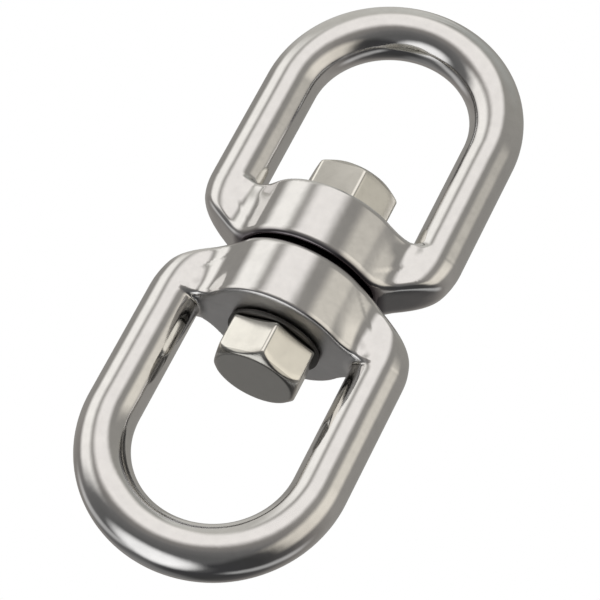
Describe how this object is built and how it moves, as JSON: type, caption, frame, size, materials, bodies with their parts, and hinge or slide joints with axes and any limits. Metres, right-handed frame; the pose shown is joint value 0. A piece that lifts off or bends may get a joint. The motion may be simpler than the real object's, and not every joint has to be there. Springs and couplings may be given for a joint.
{
  "type": "anchor swivel",
  "caption": "Eye-and-eye anchor swivel in polished stainless steel: oval cast loops whose round collars turn freely on a hexagon bolt.",
  "frame": {"origin": "on the swivel axis, in the middle of the gap between the two collars", "axes": "+Z along the swivel axis towards the eye with the nut, +X across both loops, +Y out of the loops' plane, away from the side that is seen first"},
  "size_m": [0.0504, 0.0284, 0.125],
  "materials": {
    "cast_steel": "polished cast stainless steel",
    "bolt_steel": "bright machined stainless steel",
    "washer_steel": "stamped stainless steel, dark and dull beside the castings"
  },
  "bodies": {
    "upper_eye": {"upper_eye": "cast_steel"},
    "swivel_pin": {"swivel_bolt": "bolt_steel", "hex_nut": "bolt_steel", "head_washer": "washer_steel", "nut_washer": "washer_steel", "thrust_washer": "washer_steel"},
    "lower_eye": {"lower_eye": "cast_steel"}
  },
  "joints": [
    {"name": "pin_turn", "type": "hinge", "parent": "upper_eye", "child": "swivel_pin", "pos_m": [0, 0, 0], "axis": [0, 0, 1], "continuous": true},
    {"name": "eye_swivel", "type": "hinge", "parent": "swivel_pin", "child": "lower_eye", "pos_m": [0, 0, 0], "axis": [0, 0, 1], "continuous": true}
  ]
}
